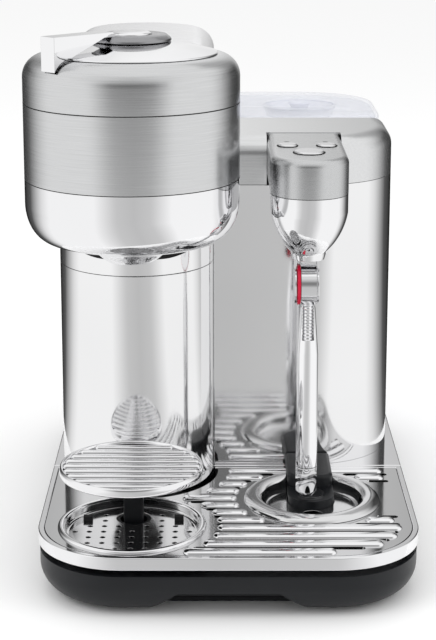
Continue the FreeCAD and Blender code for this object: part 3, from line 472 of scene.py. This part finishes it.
def make_studio():
    scene = bpy.context.scene
    scene.view_settings.view_transform = "Standard"
    world = bpy.data.worlds.new("studio")
    scene.world = world
    world.use_nodes = True
    background = world.node_tree.nodes["Background"]
    background.inputs["Color"].default_value = (1, 1, 1, 1)
    background.inputs["Strength"].default_value = 1.0
    make_light("key", (-1.2, -0.9, 1.5), (0, 0, 0.15), (0.9, 0.9), 6)
    make_light("fill", (1.3, -0.6, 1.1), (0, 0, 0.15), (0.8, 1.0), 4)
    make_light("top", (0, 0.1, 1.8), (0, 0, 0), (1.4, 1.4), 5)

    bm = bmesh.new()
    bmesh.ops.create_grid(bm, x_segments=1, y_segments=1, size=8.0)
    floor = bpy.data.objects.new("floor", from_bmesh("floor", bm))
    paint = Finish("floor_paint", (0.93, 0.93, 0.93), 0.0, 0.8, Specular_IOR_Level=0.0)
    floor.data.materials.append(paint.material)
    scene.collection.objects.link(floor)
    make_tent()


# ---------------------------------------------------------------- brewing head
def smooth_step(t):
    t = max(0.0, min(1.0, t))
    return t * t * (3 - 2 * t)


def make_bowl():
    """The polished bowl, whose front swells down into the coffee spout."""
    low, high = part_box("head_bowl")
    centre = Vector((HEAD.x, HEAD.y, low.z))
    r = HEAD_RADIUS
    tall = high.z - low.z
    spout = middle("spout")
    lip_flat = 13 * MM
    lip_fall = 15 * MM
    drop = low.z - low_of("spout").z
    rows = 26
    profile = [(BOWL_FOOT * k / (rows - 1) + 1e-5, 0.0) for k in range(rows)]
    bend = 22
    for k in range(1, bend + 1):
        a = math.pi / 2 * k / bend
        profile.append((BOWL_FOOT + (r - BOWL_FOOT) * math.sin(a), tall * BOWL_BEND * (1 - math.cos(a))))
    inner = r - STEEL_WALL
    profile += [(r, tall), (inner, tall), (inner, tall * 0.66), (BOWL_FOOT, BOWL_FLOOR), (1e-5, BOWL_FLOOR)]
    mesh = lathe("bowl", profile, centre, 192)
    for vertex in mesh.vertices:
        if vertex.co.z > low.z + tall * 0.45:
            continue
        dx = vertex.co.x - spout.x
        dy = vertex.co.y - spout.y
        away = math.hypot(dx, dy)
        pull = 1 - smooth_step((away - lip_flat) / lip_fall)
        vertex.co.z -= drop * pull
    new_object("bowl_skin", mesh, MIRROR, "chassis", "polished_steel", "head_bowl", "spout")
    nozzle = [(3.2 * MM, -1.5 * MM), (6 * MM, -1.5 * MM), (6.6 * MM, -0.8 * MM), (6.6 * MM, 2 * MM),
              (3.2 * MM, 2 * MM)]
    bottom = Vector((spout.x, spout.y, low_of("spout").z + 1.6 * MM))
    new_object("spout_nozzle", lathe("nozzle", nozzle, bottom, 48), BLACK, "chassis", "black_plastic")


def make_collar_shadow():
    """A near-black sheet painted as the shade in the recess between the bowl's underside and the column's
    collar, left and right of the spout.
    """
    bowl_low = low_of("head_bowl").z
    radius = COLUMN_RADIUS + 0.25 * MM
    bm = bmesh.new()
    rows = []
    steps = 72
    for i in range(steps + 1):
        angle = math.radians(-90 + 180 * i / steps)
        climb = smooth_step((abs(math.degrees(angle)) - 22) / 66)
        low = bowl_low - (15 - 13 * climb) * MM
        row = []
        for r, z in ((radius, low), (radius, bowl_low + 1 * MM), (radius - 0.4 * MM, bowl_low + 1 * MM),
                     (radius - 0.4 * MM, low)):
            row.append(bm.verts.new((COLUMN.x + r * math.sin(angle), COLUMN.y - r * math.cos(angle), z)))
        rows.append(row)
    for a, b in zip(rows, rows[1:]):
        for k in range(4):
            bm.faces.new((a[k], a[(k + 1) % 4], b[(k + 1) % 4], b[k]))
    bm.faces.new(rows[0])
    bm.faces.new(rows[-1])
    # black sheet with painted shade, standing in for the shadowed gap under the bowl
    new_object("collar_painted_shade", from_bmesh("collar_painted_shade", bm), SEAM_AND_SHADE, "chassis", "black_rubber")


def make_seams():
    """The dark lines under the head band and under the lid; both stay put when the lid opens."""
    for name, z in (("seam_low", low_of("head_band").z), ("seam_high", low_of("lid_shell").z)):
        ring = ball_ring(name, Vector((HEAD.x, HEAD.y, z)), HEAD_RADIUS - 0.35 * MM, SEAM_LINE, 192, 8)
        new_object(name, ring, SEAM_AND_SHADE, "chassis", "black_rubber")


def make_head():
    make_bowl()
    make_collar_shadow()
    make_seams()
    soften("head_band", 0.4 * MM, ROUND_BRUSH)
    soften("lid_shell", 0.5 * MM, ROUND_BRUSH)
    soften("lid_crown", 0.5 * MM, MIRROR)
    soften("lever_hub", 0.6 * MM, brushed("brushed_hub", HEAD, (0.34, 0.34, 0.35), 0.18, 0.28))
    soften("lever", 0.9 * MM, PIPE, segments=4)
    soften("brew_button", 0.5 * MM, MIRROR)
    coat("brew_chamber", BLACK)
    coat("holder_bearing", STEEL)
    coat("capsule_holder", CAST)
    coat("pierce_plate", CAST)
    coat("pierce_carrier", GREY)
    coat("hinge_pin", STEEL)
    coat("hinge_bracket", CAST)


# ---------------------------------------------------------------- column, bin, body and tank
def make_column():
    soften("column_shell", 0.4 * MM, MIRROR_BODY)
    soften("neck_shell", 0.4 * MM, MIRROR_BODY)
    soften("neck_top", 0.4 * MM, FLAT_BRUSH)
    soften("capsule_bin", 0.5 * MM, MIRROR_BODY)
    soften("bin_cover", 0.5 * MM, brushed("brushed_bin", None, (0.93, 0.93, 0.94), 0.2, 0.3))
    coat("bin_bay", BLACK)
    coat("cord_gland", BLACK)
    coat("brew_heater", CAST)
    coat("spin_motor", CAST)


def make_body():
    soften("body_shell", 0.4 * MM, MIRROR_BODY)
    soften("top_cover", 0.5 * MM, FLAT_BRUSH)
    soften("rear_plinth", 0.8 * MM, MIRROR)
    soften("water_tank", 0.8 * MM, CLEAR)
    soften("tank_lid", 0.6 * MM, CLEAR)
    coat("tank_valve", GREY)
    coat("water_pump", GREY)
    coat("steam_boiler", CAST)
    coat("control_board", BOARD)


# ---------------------------------------------------------------- steam side
def make_steam():
    soften("steam_cap", 0.6 * MM, brushed("brushed_steam", None, (0.6, 0.605, 0.61), 0.2, 0.32))
    soften("steam_bowl", 0.6 * MM, MIRROR)
    for name in ("steam_button", "temperature_button", "froth_button"):
        soften(name, 0.4 * MM, SATIN)
        spot = Vector((middle(name).x, middle(name).y, high_of("steam_cap").z))
        ring = ball_ring(name + "_gap", spot, half_width(name) + 0.3 * MM, BUTTON_GAP, 64, 8)
        new_object(name + "_gap", ring, SEAM_AND_SHADE, "chassis", "black_rubber")
    soften("wand_ears", 0.4 * MM, MIRROR)
    soften("wand_pin", 0.4 * MM, MIRROR)
    soften("wand_knuckle", 0.5 * MM, MIRROR)
    make_threads()
    soften("wand_collar", 0.3 * MM, RED)
    soften("wand_tube", 0.4 * MM, PIPE)
    soften("wand_tip", 0.4 * MM, PIPE)
    make_marks()


def make_threads():
    """The fine thread on the wand's neck, between the knuckle and the forked tube."""
    low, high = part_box("wand_knuckle")
    top = high.z - (high.y - low.y) + 0.5 * MM
    core, root, crest = (NECK_RADIUS + step * MM for step in (-0.8, 0.05, 0.6))
    turns = 12
    pitch = (top - low.z) / turns
    profile = [(core, 0.0)]
    for k in range(turns):
        profile += [(root, pitch * (k + 0.1)), (crest, pitch * (k + 0.5)), (root, pitch * (k + 0.9))]
    profile.append((core, top - low.z))
    centre = Vector((WAND.x, WAND.y, low.z))
    new_object("wand_threads", lathe("wand_threads", profile, centre, 32), PIPE, "wand", "polished_steel")


def make_marks():
    """Generic level dashes printed above the two small buttons."""
    top = high_of("steam_cap").z + 0.05 * MM
    for name in ("temperature_button", "froth_button"):
        spot = middle(name)
        for k in range(3):
            bm = bmesh.new()
            bmesh.ops.create_cube(bm, size=1.0)
            bmesh.ops.scale(bm, vec=(3.2 * MM, 0.9 * MM, 0.1 * MM), verts=bm.verts)
            y = high_of(name).y + (3 + 3 * k) * MM
            bmesh.ops.translate(bm, vec=(spot.x, y, top), verts=bm.verts)
            bmesh.ops.bevel(bm, geom=bm.edges[:], offset=0.03 * MM, segments=1, affect="EDGES")
            new_object("%s_mark_%d" % (name, k), from_bmesh("mark", bm), SEAM_AND_SHADE, "chassis", "black_rubber")


# ---------------------------------------------------------------- base, tray, dishes and stand
def pill(bm, x0, x1, y, z, half, height, rounds=8, ends=6):
    """A half-round rib with rounded ends, pressed up out of the plate."""
    rows = []
    for side, x_end in ((-1, x0 + half), (1, x1 - half)):
        for k in range(ends + 1):
            swing = math.pi / 2 * (k / ends if side > 0 else 1 - k / ends)
            reach = half * math.sin(swing)
            width = half * math.cos(swing)
            row = []
            for i in range(rounds + 1):
                a = math.pi * i / rounds
                lift = math.sin(a) * max(math.cos(swing), 0.02)
                row.append(bm.verts.new((x_end + side * reach, y + width * math.cos(a), z + height * lift)))
            rows.append(row)
    for a, b in zip(rows, rows[1:]):
        for i in range(rounds):
            bm.faces.new((a[i], a[i + 1], b[i + 1], b[i]))
    for row in (rows[0], rows[-1]):
        bm.faces.new(row)
    for a, b in zip(rows, rows[1:]):
        bm.faces.new((a[0], b[0], b[-1], a[-1]))


def chord(y, centre, radius):
    """Where a line at this y leaves a circle to the right, or None when it passes by."""
    reach = radius * radius - (y - centre.y) ** 2
    return centre.x + math.sqrt(reach) if reach > 0 else None


def rib_spans(y, high):
    """The stretches between column, dishes and corner that a rib at this y may take."""
    margin = 10.5 * MM
    left = HEAD.x + 22 * MM
    for centre, radius in ((COLUMN, COLUMN_RADIUS), (CUP, DISH_RADIUS)):
        left = max(left, chord(y, centre, radius + margin) or left)
    right = high.x - BAND_EDGE - margin * 0.6
    corner = Vector((cad_high.x - CORNER, cad_low.y + CORNER, 0))
    if y < corner.y:
        right = chord(y, corner, CORNER - BAND_EDGE - margin * 0.6) or corner.x
    around = chord(y, JUG, JUG_RADIUS + 4.5 * MM)
    if around is None:
        return [(left, right)]
    return [(left, 2 * JUG.x - around), (around, right)]


def make_grille():
    """Raised ribs between the grille's slots."""
    high = high_of("tray_grille")
    bm = bmesh.new()
    first = cad_low.y + FIRST_SLOT + SLOT_PITCH / 2
    for i in range(-1, 11):
        y = first + i * SLOT_PITCH
        for x0, x1 in rib_spans(y, high):
            if x1 - x0 > 10 * MM and y < high.y - 3 * MM:
                pill(bm, x0, x1, y, high.z - 0.05 * MM, 4.2 * MM, 2.3 * MM, 12, 8)
    new_object("grille_ribs", from_bmesh("grille_ribs", bm, 60), MIRROR, "tray", "polished_steel")
    soften("tray_grille", 0.3 * MM, GRILLE)


def make_dishes():
    soften("jug_dish", 0.5 * MM, DISH)
    soften("cup_dish", 0.4 * MM, DISH)
    lip = Vector((middle("cup_dish").x, middle("cup_dish").y, high_of("cup_dish").z - 0.6 * MM))
    ring = ball_ring("cup_dish_lip", lip, DISH_RADIUS + 1.2 * MM, 2.0 * MM)
    new_object("cup_dish_lip", ring, MIRROR, "tray", "polished_steel")
    soften("sensor_tongue", 0.8 * MM, BLACK)
    coat("sensor_pad", MIRROR)
    coat("dish_stops", RUBBER)
    coat("stand_socket", BLACK)
    coat("drip_pan", BLACK)


def make_stand():
    """The cup stand's rolled rim and its rounded slats."""
    high = high_of("cup_stand")
    radius = half_width("cup_stand")
    thick = 3 * MM
    centre = Vector((CUP.x, CUP.y, high.z - thick))
    profile = []
    for k in range(16):
        a = 2 * math.pi * k / 16
        profile.append((radius - 1.3 * MM + 1.3 * MM * math.cos(a), thick * math.sin(a)))
    rim = lathe("stand_rim", profile, centre, 160, 180)
    new_object("stand_rim", rim, MIRROR, "stand", "polished_steel", "cup_stand")
    bm = bmesh.new()
    for i in range(SLAT_COUNT):
        y = (i - (SLAT_COUNT - 1) / 2) * SLAT_PITCH
        half = math.sqrt((radius - 2 * MM) ** 2 - y * y)
        pill(bm, CUP.x - half, CUP.x + half, CUP.y + y, high.z - 2.6 * MM, 2.4 * MM, 2.4 * MM)
    new_object("stand_slats", from_bmesh("stand_slats", bm, 60), MIRROR, "stand", "polished_steel")
    plate = [(1e-5, -0.8 * MM), (radius - 2 * MM, -0.8 * MM), (radius - 2 * MM, 0.2 * MM), (1e-5, 0.2 * MM)]
    under = Vector((CUP.x, CUP.y, high.z - 3.4 * MM))
    new_object("stand_plate", lathe("stand_plate", plate, under), SEAM_AND_SHADE, "stand", "black_plastic")
    soften("stand_post", 1.2 * MM, BLACK)


def make_base():
    soften("tray_band", 0.8 * MM, MIRROR)
    soften("base_skirt", 0.8 * MM, BLACK)
    soften("tray_skirt", 0.8 * MM, BLACK)
    coat("base_plate", BLACK)
    coat("base_screws", STEEL)
    coat("rubber_feet", RUBBER)


make_camera()
make_studio()
make_head()
make_column()
make_body()
make_steam()
make_base()
make_grille()
make_dishes()
make_stand()
